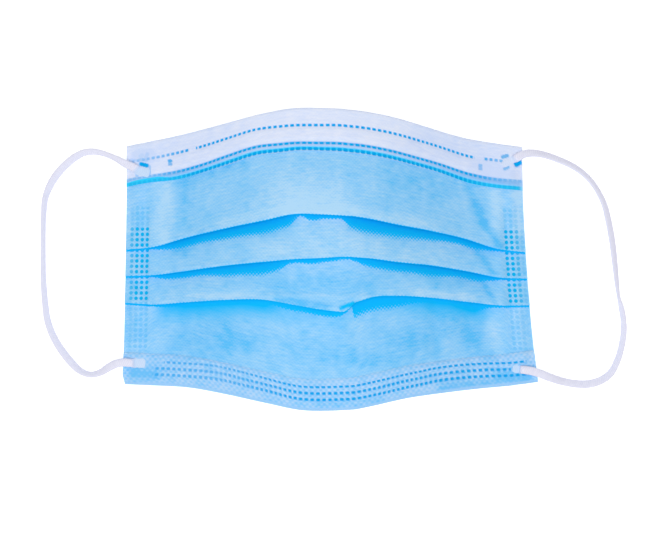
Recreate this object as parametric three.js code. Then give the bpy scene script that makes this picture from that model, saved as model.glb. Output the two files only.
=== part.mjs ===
// A disposable pleated face mask, lying on its back with the outer face up, in millimetres.
// +X runs to the right across the face, +Y towards the nose edge and +Z out of the mask. The origin is on
// the surface that the mask lies on, under the middle of the cloth.
import * as THREE from "three";

// Cloth
const CLOTH = 1.0; // wall of the pleated cloth
const BINDING = 1.0; // wall of the strips folded over its upper and lower edges
const GAP = 0.3; // between pieces, and between the layers of a pleat
const LAYER = CLOTH + GAP; // from the middle of one layer of a pleat to the next
const BAND_DEPTH = 14.5; // nose band, from the upper edge down
const HEM_DEPTH = 12.8; // hem, from the lower edge up

// Spread of the cloth
const STRIP = 0.86; // the welded side strips lie flat from here out, as a share of the half width
const CREST = 0.08; // the arch is level as far as this from the middle, as a share of the half width
const TUCK_SIDE = 8; // depth of a pleat in the side strips
const TUCK_MIDDLE = 4; // depth of a pleat in the middle, where the pleats have opened
const PLEAT_STEP = 11; // from one flap's edge to the next in the side strips
const BEND = CLOTH / 2 + 0.4; // from the tip of a fold to where its layers run straight
const STATIONS = 40; // sections lofted across the mask
const LEG_POINTS = 4; // points of a section over the depth of the band or the hem
const PANEL_POINTS = 5; // points of a section over the rest of a panel

// Side edges: x = middle + slope * y + bow * y * y
const LEFT_EDGE = { middle: -81.8, slope: 0.015, bow: 0 };
const RIGHT_EDGE = { middle: 78.1, slope: -0.065, bow: 0.0007 };

// Height of the arch over the side strips, along each line that crosses the mask
const RISE_TOP = 22;
const RISE_FOLDS = [27, 28, 26];
const RISE_BOTTOM = 17;

// How each panel curves between its edges: powers of the share of the way along it
const UPPER_LIFT = 1.4; // up to the first flap's edge
const PANEL_SWELL = 2.5; // out from under a flap
const LOWER_FALL = 1.5; // down to the lower edge
const LOWER_SINK = 1.6; // back under the last flap

// Sections of the mask from the left edge to the right.
// across: -1 at the left edge, 1 at the right. top, fold1 to fold3, bottom: y of the upper edge, of the
// lower edge of each pleat's flap, and of the lower edge. open1 to open3: how far each flap stands off
// the panel under it.
const COLUMNS = ["across", "top", "fold1", "fold2", "fold3", "bottom", "open1", "open2", "open3"];
const SECTIONS = [
  [-1.0, 45.5, 4.0, -6.5, -17.5, -49.5, 0, 0, 0],
  [-0.86, 47.5, 5.0, -6.0, -18.0, -50.0, 0, 0, 0],
  [-0.7, 50.0, 9.0, -4.5, -17.0, -50.5, 1.5, 1.0, 2.0],
  [-0.5, 53.5, 12.0, -2.5, -16.0, -53.5, 3.0, 3.0, 3.0],
  [-0.3, 57.0, 15.5, -1.0, -15.5, -56.5, 4.0, 4.0, 3.0],
  [-0.15, 59.0, 17.0, 0.0, -17.5, -58.5, 2.0, 2.0, 2.5],
  [0.0, 59.0, 17.0, 0.5, -19.5, -59.0, 1.0, 1.0, 2.0],
  [0.1, 58.5, 16.5, 1.0, -18.5, -58.5, 1.5, 0.8, 3.0],
  [0.2, 57.5, 16.0, 0.5, -15.0, -57.0, 4.0, 2.5, 4.5],
  [0.35, 55.5, 13.5, -1.0, -14.0, -54.5, 4.5, 3.5, 4.5],
  [0.5, 52.5, 11.5, -2.0, -15.0, -53.0, 3.0, 4.0, 4.0],
  [0.7, 48.5, 8.5, -4.5, -17.0, -51.5, 1.5, 1.5, 3.0],
  [0.86, 46.5, 4.5, -7.0, -18.5, -50.0, 0, 0, 0],
  [1.0, 44.5, 3.0, -7.5, -18.5, -49.0, 0, 0, 0],
];

// Ear loops: elastic cords welded on at the corners
const CORD = 2.8; // diameter
const CORD_SIDES = 8;
const CORD_STEP = 2.2; // step along a cord, in diameters
const TAB = { length: 6.3, width: 3.8, wall: 1.0, corner: 0.9 }; // welded end of a loop
const TABS = {
  weld_tab_top_left: { x: -74.6, y: 35.9, turn: -6 },
  weld_tab_top_right: { x: 71.0, y: 38.9, turn: 27 },
  weld_tab_bottom_left: { x: -75.9, y: -41.2, turn: 2 },
  weld_tab_bottom_right: { x: 72.7, y: -43.4, turn: -5 },
};

// Levels at the side strips, where the mask lies flat
const BASE = BINDING + GAP + CLOTH / 2; // middle of the cloth
const OUTER_FACE = BASE + CLOTH / 2 + GAP + BINDING; // outer face of the band and the hem
const TAB_LEVEL = OUTER_FACE + GAP;
const CORD_HIGH = TAB_LEVEL + CORD / 2; // middle of a cord that passes over the cloth
const CORD_LOW = CORD / 2 + 0.1; // middle of a cord on the surface

const LEFT_LOOP = [
  [-78.2, 36.7, CORD_HIGH],
  [-79.9, 37.4, CORD_HIGH],
  [-81.8, 38.3, CORD_HIGH],
  [-84.5, 39.8, 4.5],
  [-87.5, 41.2, 3.0],
  [-91.0, 42.5, 1.8],
  [-94.3, 43.1, CORD_LOW],
  [-97.9, 42.8, CORD_LOW],
  [-101.5, 41.2, CORD_LOW],
  [-105.0, 38.5, CORD_LOW],
  [-108.6, 34.8, CORD_LOW],
  [-111.8, 29.8, CORD_LOW],
  [-113.8, 24.4, CORD_LOW],
  [-114.4, 18.0, CORD_LOW],
  [-114.6, 10.0, CORD_LOW],
  [-114.6, 1.0, CORD_LOW],
  [-114.5, -7.5, CORD_LOW],
  [-113.9, -16.5, CORD_LOW],
  [-112.8, -24.5, CORD_LOW],
  [-110.4, -31.0, CORD_LOW],
  [-107.0, -36.6, CORD_LOW],
  [-103.0, -41.5, CORD_LOW],
  [-99.5, -44.6, CORD_LOW],
  [-95.5, -45.9, CORD_LOW],
  [-91.8, -45.0, 1.8],
  [-88.6, -43.1, 3.0],
  [-85.5, -41.5, 4.6],
  [-82.4, -40.9, CORD_HIGH],
  [-79.4, -41.1, CORD_HIGH],
];
const RIGHT_LOOP = [
  [74.2, 40.5, CORD_HIGH],
  [75.8, 41.4, CORD_HIGH],
  [78.0, 42.2, CORD_HIGH],
  [81.3, 42.4, 4.2],
  [84.5, 42.0, 2.8],
  [88.0, 41.1, 1.8],
  [92.0, 39.6, CORD_LOW],
  [96.0, 37.8, CORD_LOW],
  [100.0, 35.3, CORD_LOW],
  [103.5, 32.1, CORD_LOW],
  [106.6, 27.8, CORD_LOW],
  [109.3, 22.4, CORD_LOW],
  [111.2, 15.0, CORD_LOW],
  [112.5, 8.0, CORD_LOW],
  [113.6, -1.0, CORD_LOW],
  [114.5, -10.0, CORD_LOW],
  [116.0, -19.0, CORD_LOW],
  [117.2, -27.0, CORD_LOW],
  [116.4, -34.0, CORD_LOW],
  [114.4, -40.8, CORD_LOW],
  [111.6, -45.7, CORD_LOW],
  [107.4, -48.5, CORD_LOW],
  [102.5, -49.7, CORD_LOW],
  [97.5, -49.5, CORD_LOW],
  [93.5, -48.8, 1.8],
  [90.0, -47.8, 2.8],
  [86.6, -46.6, 4.3],
  [83.4, -45.3, CORD_HIGH],
  [79.6, -44.2, CORD_HIGH],
  [76.1, -43.7, CORD_HIGH],
];

// Materials
function finish(color, roughness) {
  return new THREE.MeshStandardMaterial({ color, roughness, metalness: 0 });
}
const BLUE_NONWOVEN = finish(0x8cccf6, 0.85);
const WHITE_NONWOVEN = finish(0xd8e2f8, 0.85);
const PALE_HEM = finish(0xa8d0f6, 0.85);
const WHITE_ELASTIC = finish(0xe6e6f4, 0.9);
const WELDED_ELASTIC = finish(0xd2e4f4, 0.5);

// Sections
const { lerp, smoothstep } = THREE.MathUtils;
const sectionTable = new THREE.CubicInterpolant(
  SECTIONS.map((row) => row[0]),
  SECTIONS.flat(),
  COLUMNS.length,
  new Array(COLUMNS.length),
);

function edgeAt(edge, y) {
  return edge.middle + edge.slope * y + edge.bow * y * y;
}

// Everything that one section of the mask is made from, at a place across it.
function sectionAt(across) {
  const row = sectionTable.evaluate(across);
  const value = Object.fromEntries(COLUMNS.map((name, column) => [name, row[column]]));
  const arch = smoothstep(STRIP - Math.abs(across), 0, STRIP - CREST);
  const tuck = lerp(TUCK_SIDE, TUCK_MIDDLE, arch);
  const edges = [value.top, value.fold1, value.fold2, value.fold3, value.bottom];
  const pleats = [1, 2, 3].map((number, index) => {
    const y = value[`fold${number}`];
    const open = Math.max(0, value[`open${number}`]);
    const step = index < 2 ? y - edges[index + 2] : edges[2] - y;
    // The layers of a pleat lie one on another like shingles, and rise a little towards its flap's edge.
    const shingle = (2 * LAYER * tuck) / step;
    const flap = BASE + 2 * LAYER + (2 * LAYER * TUCK_SIDE) / PLEAT_STEP + arch * RISE_FOLDS[index];
    const mouth = flap - 2 * LAYER - open;
    return { y, flap, mouth, inner: mouth - shingle, tuck, open };
  });
  return { top: value.top, bottom: value.bottom, arch, pleats };
}

// The cloth's middle line above the first flap's edge, at a distance down from the mask's upper edge.
function upperPanel(section, down) {
  const pleat = section.pleats[0];
  const reach = section.top - pleat.y - BEND;
  const share = down / reach;
  const arched = BASE + section.arch * lerp(RISE_TOP, RISE_FOLDS[0], smoothstep(share, 0, 1));
  const past = Math.max(0, (down - BAND_DEPTH) / (reach - BAND_DEPTH));
  const stacked = pleat.flap - BASE - section.arch * RISE_FOLDS[0];
  return { y: section.top - down, z: arched + stacked * past ** UPPER_LIFT };
}

// The cloth's middle line below the last flap's edge, at a distance up from the mask's lower edge.
function lowerPanel(section, up) {
  const pleat = section.pleats[2];
  const share = 1 - up / (pleat.y - section.bottom);
  const arched = BASE + section.arch * lerp(RISE_FOLDS[2], RISE_BOTTOM, share ** LOWER_FALL);
  const hemShare = 1 - HEM_DEPTH / (pleat.y - section.bottom);
  const before = Math.max(0, 1 - share / hemShare);
  const sunk = BASE + section.arch * RISE_FOLDS[2] - pleat.mouth;
  return { y: section.bottom + up, z: arched - sunk * before ** LOWER_SINK };
}

// The cloth's middle line from under one flap to the edge of the next flap.
function panelBetween(above, below, share) {
  const y = lerp(above.y, below.y + BEND, share);
  const rise = below.flap - above.mouth - above.open;
  return { y, z: above.mouth + rise * share + above.open * (1 - (1 - share) ** PANEL_SWELL) };
}

// Points of a run of cloth with the way that its outer face looks, worked out from the run's own direction.
function faced(run) {
  return run.map((point, index) => {
    const from = run[Math.max(0, index - 1)];
    const to = run[Math.min(run.length - 1, index + 1)];
    const length = Math.hypot(to.y - from.y, to.z - from.z);
    return { ...point, outY: (to.z - from.z) / length, outZ: (from.y - to.y) / length };
  });
}

// The tip of a fold, where the outer face looks towards the lower edge of the mask.
function foldTip(y, z) {
  return { y, z, outY: -1, outZ: 0 };
}

function spread(count, make) {
  return Array.from({ length: count }, (_, index) => make(index / (count - 1)));
}

const EDGE = BINDING + GAP; // the cloth stops short of the mask's edge by the strip folded over it

// Middle line of the pleated cloth, from its upper edge to its lower edge.
function pleatedLine(section) {
  const { top, bottom, pleats } = section;
  const [first, , last] = pleats;
  const upperLength = top - first.y - BEND;
  const bandRun = spread(LEG_POINTS, (share) => upperPanel(section, lerp(EDGE, BAND_DEPTH, share)));
  const upperRun = spread(PANEL_POINTS, (share) =>
    upperPanel(section, lerp(BAND_DEPTH, upperLength, share)),
  );
  const line = faced([...bandRun, ...upperRun.slice(1)]);
  pleats.forEach((pleat, index) => {
    const { y, flap, inner, tuck } = pleat;
    line.push(foldTip(y, flap - LAYER / 2));
    line.push(...faced([{ y: y + BEND, z: flap - LAYER }, { y: y + tuck - BEND, z: inner + LAYER }]));
    line.push(foldTip(y + tuck, inner + LAYER / 2));
    const start = { y: y + tuck - BEND, z: inner };
    if (pleat === last) {
      const open = last.y - bottom;
      const run = spread(PANEL_POINTS, (share) => lowerPanel(section, lerp(open, HEM_DEPTH, share)));
      const hemRun = spread(LEG_POINTS, (share) => lowerPanel(section, lerp(HEM_DEPTH, EDGE, share)));
      line.push(...faced([start, ...run, ...hemRun.slice(1)]));
    } else {
      const next = pleats[index + 1];
      line.push(...faced([start, ...spread(PANEL_POINTS, (share) => panelBetween(pleat, next, share))]));
    }
  });
  return line;
}

// Middle line of a strip folded over an edge of the cloth. cloth gives the cloth's points from the edge in.
function bindingLine(cloth, towardsEdge) {
  const leg = CLOTH / 2 + GAP + BINDING / 2;
  const [edge, next] = cloth;
  const length = Math.hypot(edge.y - next.y, edge.z - next.z);
  const out = { y: (edge.y - next.y) / length, z: (edge.z - next.z) / length };
  const shifted = (points, side) =>
    points.map((p) => ({ y: p.y + side * leg * p.outY, z: p.z + side * leg * p.outZ }));
  const seen = faced(towardsEdge ? [...cloth].reverse() : cloth);
  const front = faced(shifted(seen, 1));
  const back = faced(shifted([...seen].reverse(), -1));
  const tip = {
    y: edge.y + out.y * (GAP + BINDING / 2),
    z: edge.z + out.z * (GAP + BINDING / 2),
    outY: out.y,
    outZ: out.z,
  };
  return towardsEdge ? [...front, tip, ...back] : [...back, tip, ...front];
}

function bandLine(section) {
  const cloth = spread(LEG_POINTS, (share) => upperPanel(section, lerp(EDGE, BAND_DEPTH, share)));
  return bindingLine(cloth, false);
}

function hemLine(section) {
  const cloth = spread(LEG_POINTS, (share) => lowerPanel(section, lerp(EDGE, HEM_DEPTH, share)));
  return bindingLine(cloth, true);
}

// A wall of cloth lofted across the mask, half its thickness to each side of its middle line.
function loftedWall(name, wall, lineOf, material) {
  const sections = spread(STATIONS + 1, (share) => {
    const across = lerp(-1, 1, share);
    return lineOf(sectionAt(across)).map((point) => ({ ...point, across }));
  });
  const count = sections[0].length;
  const faceSize = sections.length * count;
  const positions = [1, -1].flatMap((side) =>
    sections.flat().flatMap((point) => {
      const y = point.y + (side * wall * point.outY) / 2;
      const z = point.z + (side * wall * point.outZ) / 2;
      const x = lerp(edgeAt(LEFT_EDGE, point.y), edgeAt(RIGHT_EDGE, point.y), (point.across + 1) / 2);
      return [x, y, z];
    }),
  );
  const outer = (station, step) => station * count + step;
  const inner = (station, step) => faceSize + outer(station, step);
  const index = [];
  const quad = (a, b, c, d) => index.push(a, b, c, a, c, d);
  const last = count - 1;
  for (let s = 0; s < STATIONS; s += 1) {
    for (let p = 0; p < last; p += 1) {
      quad(outer(s, p), outer(s, p + 1), outer(s + 1, p + 1), outer(s + 1, p));
      quad(inner(s, p), inner(s + 1, p), inner(s + 1, p + 1), inner(s, p + 1));
    }
    quad(outer(s, 0), outer(s + 1, 0), inner(s + 1, 0), inner(s, 0));
    quad(outer(s + 1, last), outer(s, last), inner(s, last), inner(s + 1, last));
  }
  for (let p = 0; p < last; p += 1) {
    quad(outer(0, p + 1), outer(0, p), inner(0, p), inner(0, p + 1));
    quad(outer(STATIONS, p), outer(STATIONS, p + 1), inner(STATIONS, p + 1), inner(STATIONS, p));
  }
  const geometry = new THREE.BufferGeometry();
  geometry.setAttribute("position", new THREE.Float32BufferAttribute(positions, 3));
  geometry.setIndex(index);
  geometry.computeVertexNormals();
  return named(name, geometry, material);
}

function named(name, geometry, material) {
  const mesh = new THREE.Mesh(geometry, material);
  mesh.name = name;
  return mesh;
}

function roundedRectangle(length, width, corner) {
  const x = length / 2;
  const y = width / 2;
  const shape = new THREE.Shape();
  shape.moveTo(-x + corner, -y);
  shape.lineTo(x - corner, -y);
  shape.absarc(x - corner, -y + corner, corner, -Math.PI / 2, 0);
  shape.lineTo(x, y - corner);
  shape.absarc(x - corner, y - corner, corner, 0, Math.PI / 2);
  shape.lineTo(-x + corner, y);
  shape.absarc(-x + corner, y - corner, corner, Math.PI / 2, Math.PI);
  shape.lineTo(-x, -y + corner);
  shape.absarc(-x + corner, -y + corner, corner, Math.PI, Math.PI * 1.5);
  return shape;
}

// The end of an ear loop, pressed flat and welded to the outer face.
function weldTab(name, place) {
  const outline = roundedRectangle(TAB.length, TAB.width, TAB.corner);
  const geometry = new THREE.ExtrudeGeometry(outline, {
    depth: TAB.wall,
    bevelEnabled: false,
    curveSegments: 3,
  });
  const tab = named(name, geometry, WELDED_ELASTIC);
  tab.position.set(place.x, place.y, TAB_LEVEL);
  tab.rotation.z = THREE.MathUtils.degToRad(place.turn);
  return tab;
}

function earLoop(name, route) {
  const path = new THREE.CatmullRomCurve3(route.map((point) => new THREE.Vector3(...point)));
  const section = new THREE.Shape(
    Array.from({ length: CORD_SIDES }, (_, side) => {
      const angle = ((side + 0.5) * 2 * Math.PI) / CORD_SIDES;
      return new THREE.Vector2(Math.cos(angle), Math.sin(angle)).multiplyScalar(CORD / 2);
    }),
  );
  const geometry = new THREE.ExtrudeGeometry(section, {
    extrudePath: path,
    steps: Math.round(path.getLength() / (CORD_STEP * CORD)),
    bevelEnabled: false,
  });
  return named(name, geometry, WHITE_ELASTIC);
}

const mask = new THREE.Group();
mask.add(loftedWall("pleated_panel", CLOTH, pleatedLine, BLUE_NONWOVEN));
mask.add(loftedWall("nose_band", BINDING, bandLine, WHITE_NONWOVEN));
mask.add(loftedWall("bottom_hem", BINDING, hemLine, PALE_HEM));
for (const [name, place] of Object.entries(TABS)) {
  mask.add(weldTab(name, place));
}
mask.add(earLoop("ear_loop_left", LEFT_LOOP));
mask.add(earLoop("ear_loop_right", RIGHT_LOOP));

export default mask;
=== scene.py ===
"""A disposable pleated face mask, lying on its back with the outer face up.

Lengths are millimetres until a mesh is made. +X runs to the right across the face, +Y towards the nose
edge and +Z out of the mask.
"""

import math

import bpy
import numpy as np
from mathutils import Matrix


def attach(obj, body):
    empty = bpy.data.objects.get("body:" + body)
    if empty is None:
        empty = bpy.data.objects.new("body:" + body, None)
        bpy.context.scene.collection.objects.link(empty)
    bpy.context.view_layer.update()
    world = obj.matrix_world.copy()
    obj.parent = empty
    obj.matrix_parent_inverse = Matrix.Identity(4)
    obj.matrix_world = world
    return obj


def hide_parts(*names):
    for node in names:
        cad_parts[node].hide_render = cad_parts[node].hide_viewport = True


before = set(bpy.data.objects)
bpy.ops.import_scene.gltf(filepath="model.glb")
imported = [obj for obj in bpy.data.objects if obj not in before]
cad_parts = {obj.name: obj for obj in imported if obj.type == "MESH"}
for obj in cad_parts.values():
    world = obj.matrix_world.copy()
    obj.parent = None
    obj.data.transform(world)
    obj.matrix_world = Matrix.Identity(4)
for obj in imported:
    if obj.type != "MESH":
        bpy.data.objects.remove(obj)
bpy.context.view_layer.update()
MM = 0.001

# Camera: straight above the mask
CAMERA_HEIGHT = 800
CAMERA_OVER = (-1.7, -4.9)
PICTURE_WIDTH = 260.8  # how much of the floor the picture shows
SENSOR = 36

# Cloth
CLOTH = 0.8  # wall of the pleated cloth, three thin plies
BINDING = 0.6  # wall of the strips folded over its upper and lower edges
GAP = 0.1  # between the cloth and a strip
LAYER = 0.95  # from the middle of one layer of a pleat to the next
LEG = CLOTH / 2 + GAP + BINDING / 2  # from the middle of the cloth to the middle of a strip over it
EDGE = LEG + BINDING / 2  # the cloth stops short of the mask's edge by the strip folded over it
BASE = 2.5  # height of the middle of the cloth at the side strips
BAND_DEPTH = 15.1  # white part of the nose band, from the upper edge down
BAND_WELD = 1.8  # blue welded strip below it
HEM_DEPTH = 12.8  # hem, from the lower edge up
BAND_BACK = 14  # how far the nose band reaches down the back
HEM_BACK = 12  # how far the hem reaches up it
HALF_WIDTH = 87.5  # of the cloth, laid out flat

# Spread of the cloth
STRIP = 0.86  # the welded side strips lie flat from here out, as a share of the half width
CREST = 0.08  # the arch is level as far as this from the middle
TUCK_SIDE = 8  # depth of a pleat in the side strips
TUCK_MIDDLE = 4  # depth of a pleat in the middle, where the pleats have opened
PLEAT_STEP = 11  # from one flap's edge to the next in the side strips
PRESSED = 0.6  # how thick the welded side strips are, as a share of the loose cloth
PRESS_EASE = 0.05  # the cloth gets thinner over this share of the half width
SEAM_EASE = 0.03  # and the deep line under a closed flap gets higher over this one
DROOP = 1.5  # how far the cut side edges sink to the floor
DROOP_FROM = 0.93  # they sink from here out, as a share of the half width

# Side edges: x = middle + slope * y + bow * y * y
LEFT_EDGE = (-81.54, 0.017, -0.00024)
RIGHT_EDGE = (78.1, -0.065, 0.0007)
CORNER_CUT = (1.2, 45.5, 50.5)  # the lower left corner slants in by this much, between these distances down

# Height of the arch over the side strips, along each line that crosses the mask
RISE_TOP = 22
RISE_FOLDS = (27, 28, 26)
RISE_BOTTOM = 17

# How each panel curves between its edges: powers of the share of the way along it
UPPER_LIFT = 1.4
PANEL_SWELL = 2.5
LOWER_FALL = 1.5
LOWER_SINK = 1.6

# Sections of the mask from the left edge to the right: across, then y of the upper edge, of the lower edge
# of each of the three flaps, and of the lower edge.
SECTIONS = np.array([
    (-1.00, 45.5, 4.0, -6.5, -17.1, -49.9),
    (-0.86, 47.5, 5.2, -6.0, -17.7, -50.2),
    (-0.70, 50.0, 8.7, -4.4, -16.8, -50.8),
    (-0.50, 53.5, 12.2, -2.3, -15.7, -53.3),
    (-0.30, 57.0, 15.2, -0.8, -15.5, -56.5),
    (-0.15, 58.7, 17.5, 0.2, -17.5, -58.8),
    (0.00, 58.7, 17.3, 0.7, -19.5, -59.0),
    (0.05, 58.6, 17.1, 1.0, -19.9, -58.8),
    (0.075, 58.5, 17.0, 1.1, -20.0, -58.7),
    (0.095, 58.4, 16.9, 1.1, -19.2, -58.6),
    (0.113, 58.2, 16.8, 1.1, -17.9, -58.4),
    (0.127, 58.1, 16.8, 1.0, -16.8, -58.2),
    (0.158, 57.9, 16.5, 0.8, -15.8, -57.7),
    (0.20, 57.5, 16.0, 0.6, -14.7, -57.0),
    (0.35, 55.5, 13.7, -0.9, -14.0, -54.5),
    (0.50, 52.5, 11.7, -2.0, -14.8, -53.0),
    (0.70, 48.5, 8.3, -4.5, -16.7, -51.4),
    (0.86, 46.5, 4.4, -7.0, -18.1, -50.3),
    (1.00, 45.2, 3.0, -7.5, -18.1, -49.0),
])

# How far each flap stands off the panel under it: across, then the three flaps.
OPENINGS = np.array([
    (-1.00, 0.0, 0.0, 0.0),
    (-0.90, 0.0, 0.0, 0.0),
    (-0.86, 0.6, 0.5, 0.3),
    (-0.80, 2.0, 1.8, 0.9),
    (-0.72, 3.4, 2.4, 1.1),
    (-0.60, 3.4, 2.5, 1.1),
    (-0.50, 4.0, 3.8, 1.1),
    (-0.40, 4.4, 4.2, 1.1),
    (-0.30, 5.0, 4.6, 1.2),
    (-0.22, 4.7, 3.2, 1.7),
    (-0.17, 4.0, 1.3, 2.0),
    (-0.12, 0.5, 1.2, 1.9),
    (-0.08, 2.0, 1.7, 1.9),
    (0.00, 1.3, 1.2, 2.1),
    (0.05, 1.1, 1.0, 1.7),
    (0.075, 1.0, 0.8, 0.8),
    (0.095, 2.2, 0.7, 0.3),
    (0.117, 4.0, 0.7, 0.3),
    (0.122, 4.4, 0.8, 4.8),
    (0.13, 4.7, 1.0, 5.2),
    (0.145, 5.0, 1.4, 5.1),
    (0.17, 5.4, 2.2, 5.0),
    (0.22, 5.6, 3.2, 5.0),
    (0.30, 5.2, 3.5, 4.6),
    (0.40, 4.5, 3.5, 3.0),
    (0.50, 3.7, 4.2, 1.5),
    (0.56, 3.1, 3.8, 1.1),
    (0.65, 2.6, 2.8, 1.2),
    (0.74, 2.8, 3.0, 2.8),
    (0.80, 1.7, 1.9, 1.0),
    (0.86, 0.6, 0.6, 0.4),
    (0.90, 0.0, 0.0, 0.0),
    (1.00, 0.0, 0.0, 0.0),
])
STAND_OFF = 0.5  # share of the openings above that the cloth itself takes up
EASE = np.linspace(-0.045, 0.045, 7)  # the cloth's own opening is the mean over this stretch across
POCKET_FADE = (0.5, 1.5)  # shares of the opening where a pocket's painted shade starts to fade, and ends
POCKET_LINE = 0.2  # height of the painted shade where a flap lies closed
SEAM_LINE = 0.45  # and where it is welded down, in the side strips

# How strong the soft painted shade is that reaches further down from each flap: across, then the three
# flaps
GLOOM = np.array([
    (-1.00, 0.0, 0.0, 0.0),
    (-0.87, 0.0, 0.0, 0.0),
    (-0.80, 0.1, 0.1, 0.9),
    (-0.70, 0.3, 0.1, 1.1),
    (-0.50, 0.1, 0.1, 1.1),
    (-0.40, 0.3, 0.3, 1.1),
    (-0.30, 0.7, 0.4, 1.2),
    (-0.22, 0.7, 0.2, 0.8),
    (-0.17, 0.5, 0.0, 0.5),
    (-0.10, 0.0, 0.0, 0.3),
    (0.10, 0.0, 0.0, 0.3),
    (0.14, 0.5, 0.0, 0.3),
    (0.20, 0.7, 0.1, 0.3),
    (0.30, 0.3, 0.2, 0.7),
    (0.40, 0.0, 0.3, 1.0),
    (0.50, 0.0, 0.5, 1.1),
    (0.60, 0.0, 0.2, 1.1),
    (0.72, 0.1, 0.0, 1.4),
    (0.80, 0.2, 0.0, 0.6),
    (0.87, 0.0, 0.0, 0.0),
    (1.00, 0.0, 0.0, 0.0),
])
GLOOM_REACH = 11  # distance down the panel where that painted shade has faded out

# Soft creases and swells of the cloth: from (x, y) to (x, y), half width, height
CREASES = (
    ((-58.0, 30.0), (-57.0, 14.0), 3.5, -0.5),
    ((-65.5, 28.0), (-65.5, 8.0), 3.5, 0.9),
    ((55.0, 28.5), (60.6, 14.5), 2.0, -0.8),
    ((60.6, 14.5), (67.4, 5.4), 1.5, -0.9),
    ((65.5, 27.0), (67.0, 14.0), 2.8, 0.7),
    ((58.0, 3.0), (64.5, -5.0), 1.5, -0.9),
    ((60.0, -8.5), (64.8, -16.5), 1.4, -0.9),
    ((40.5, -16.0), (41.0, -35.0), 3.0, -0.4),
    ((53.0, -18.0), (54.5, -28.0), 3.0, -0.3),
    ((64.0, -19.0), (66.0, -34.0), 3.0, 0.6),
    ((-63.0, -20.0), (-66.0, -34.0), 3.5, 0.5),
    ((-24.0, -14.0), (14.0, -14.4), 1.0, 0.35),
)
CREASE_SHADING = 0.8  # painted light and shade on creases: how much paler a ridge of 1 mm is, and a hollow deeper
CREASE_EASE = 0.25  # creases fade out where the arch is lower than this share of its height
UNEVEN = 0.16  # height of the cloth's small unevenness
WAVES_ACROSS = (7.1, 1.3, 9.0)  # its waves: length of a radian, sway, length of a radian of the sway
WAVES_DOWN = (5.3, 0.8, 11.0)

# Painted light and shade, with some of the web's own paler and deeper places: paler on the crests and
# the flaps' edges, deeper under the flaps and along creases. From (x, y) to (x, y), half width, tone
PAINTED_LIGHT_AND_WEB_TONES = (
    ((-15.0, 25.0), (0.0, 21.0), 9.0, 0.7),
    ((-42.0, 14.0), (-16.0, 19.3), 2.2, 0.45),
    ((-16.0, 19.3), (8.0, 18.8), 2.0, 0.3),
    ((10.0, 18.4), (40.0, 13.2), 2.2, 0.45),
    ((-57.0, 33.5), (-37.0, 38.5), 4.0, -0.6),
    ((25.0, 33.0), (40.0, 26.0), 7.0, -0.35),
    ((-26.0, 3.7), (17.0, 5.0), 6.0, 0.4),
    ((30.0, 0.5), (45.0, 0.0), 3.5, 0.3),
    ((-40.0, -32.0), (-30.0, -33.0), 5.0, -0.5),
    ((24.0, -30.0), (30.0, -32.0), 5.0, -0.5),
    ((-62.0, 5.5), (-57.0, 2.5), 2.5, -0.5),
    ((-18.0, -10.0), (16.0, -9.0), 5.0, -0.35),
    ((42.0, -9.5), (56.0, -10.5), 4.5, -0.3),
    ((-56.0, -14.6), (-32.0, -13.8), 1.5, 0.6),
    ((34.0, -13.0), (56.0, -15.0), 1.5, 0.8),
    ((-20.0, -15.2), (-2.0, -18.0), 1.8, -0.7),
    ((-64.0, -24.0), (-42.0, -25.0), 6.0, -0.3),
    ((46.0, -24.0), (56.0, -30.0), 5.0, -0.4),
    ((-64.0, -34.0), (-42.0, -35.0), 5.0, -0.4),
    ((58.0, -32.0), (62.0, -36.0), 3.5, -0.5),
    ((-12.0, -34.0), (6.0, -36.0), 7.0, -0.25),
    ((35.0, -29.0), (38.0, -35.0), 5.0, -0.35),
    ((10.0, -39.0), (26.0, -39.5), 4.0, -0.4),
    ((-78.0, -45.0), (-70.0, -45.5), 2.4, -1.0),
    ((36.0, 46.0), (62.0, 39.0), 8.0, -0.6),
    ((-70.0, 42.0), (-40.0, 48.0), 6.0, -0.4),
    ((64.0, 36.0), (72.0, 34.0), 4.0, -0.7),
    ((74.5, 27.0), (75.5, 13.0), 2.5, 0.7),
    ((73.0, -22.0), (76.0, -32.0), 3.0, 0.25),
    ((-80.5, 22.0), (-80.5, 12.0), 2.0, 0.4),
    ((-76.5, 41.4), (-72.5, 41.4), 2.2, -2.2),
    ((-10.0, -57.0), (20.0, -56.0), 3.0, -0.35),
    ((45.0, -51.0), (62.0, -50.0), 2.6, -0.9),
    ((68.0, -46.5), (78.0, -46.5), 3.0, -0.9),
)

# Shade of a small tuck where the third flap's two halves meet, painted as a dark line: from (x, y) to (x,
# y), half width
TUCK = ((4.2, -18.8), (8.6, -16.9), 0.85)

# Weld dots
DOT_PITCH = 2.3  # along the rows of the nose band and the hem
BAND_ROWS = ((6.6, 1.55, 1.1), (13.6, 1.75, 1.2))  # depth below the upper edge, dot length, dot height
STRIP_ROW = (16.1, 1.75, 1.45)
RIM_PRESS = (0.4, 0.6)  # how strongly the band's lower rim is pressed, in the middle and at the sides
# How much deeper the strip starts: across, distance
STRIP_LAG = np.array([
    (-1.00, -0.30), (-0.93, -0.80), (-0.84, -0.90), (-0.78, 0.10), (-0.45, 0.00), (0.45, 0.00),
    (0.80, 0.10), (1.00, 0.20),
])
STRIP_ENDS = 0.85  # how far the strip reaches below its row at the sides, as a share of that in the middle
FLANK_CROWDING = 0.13  # how much closer together the band's dots are on the flanks of the arch
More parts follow.
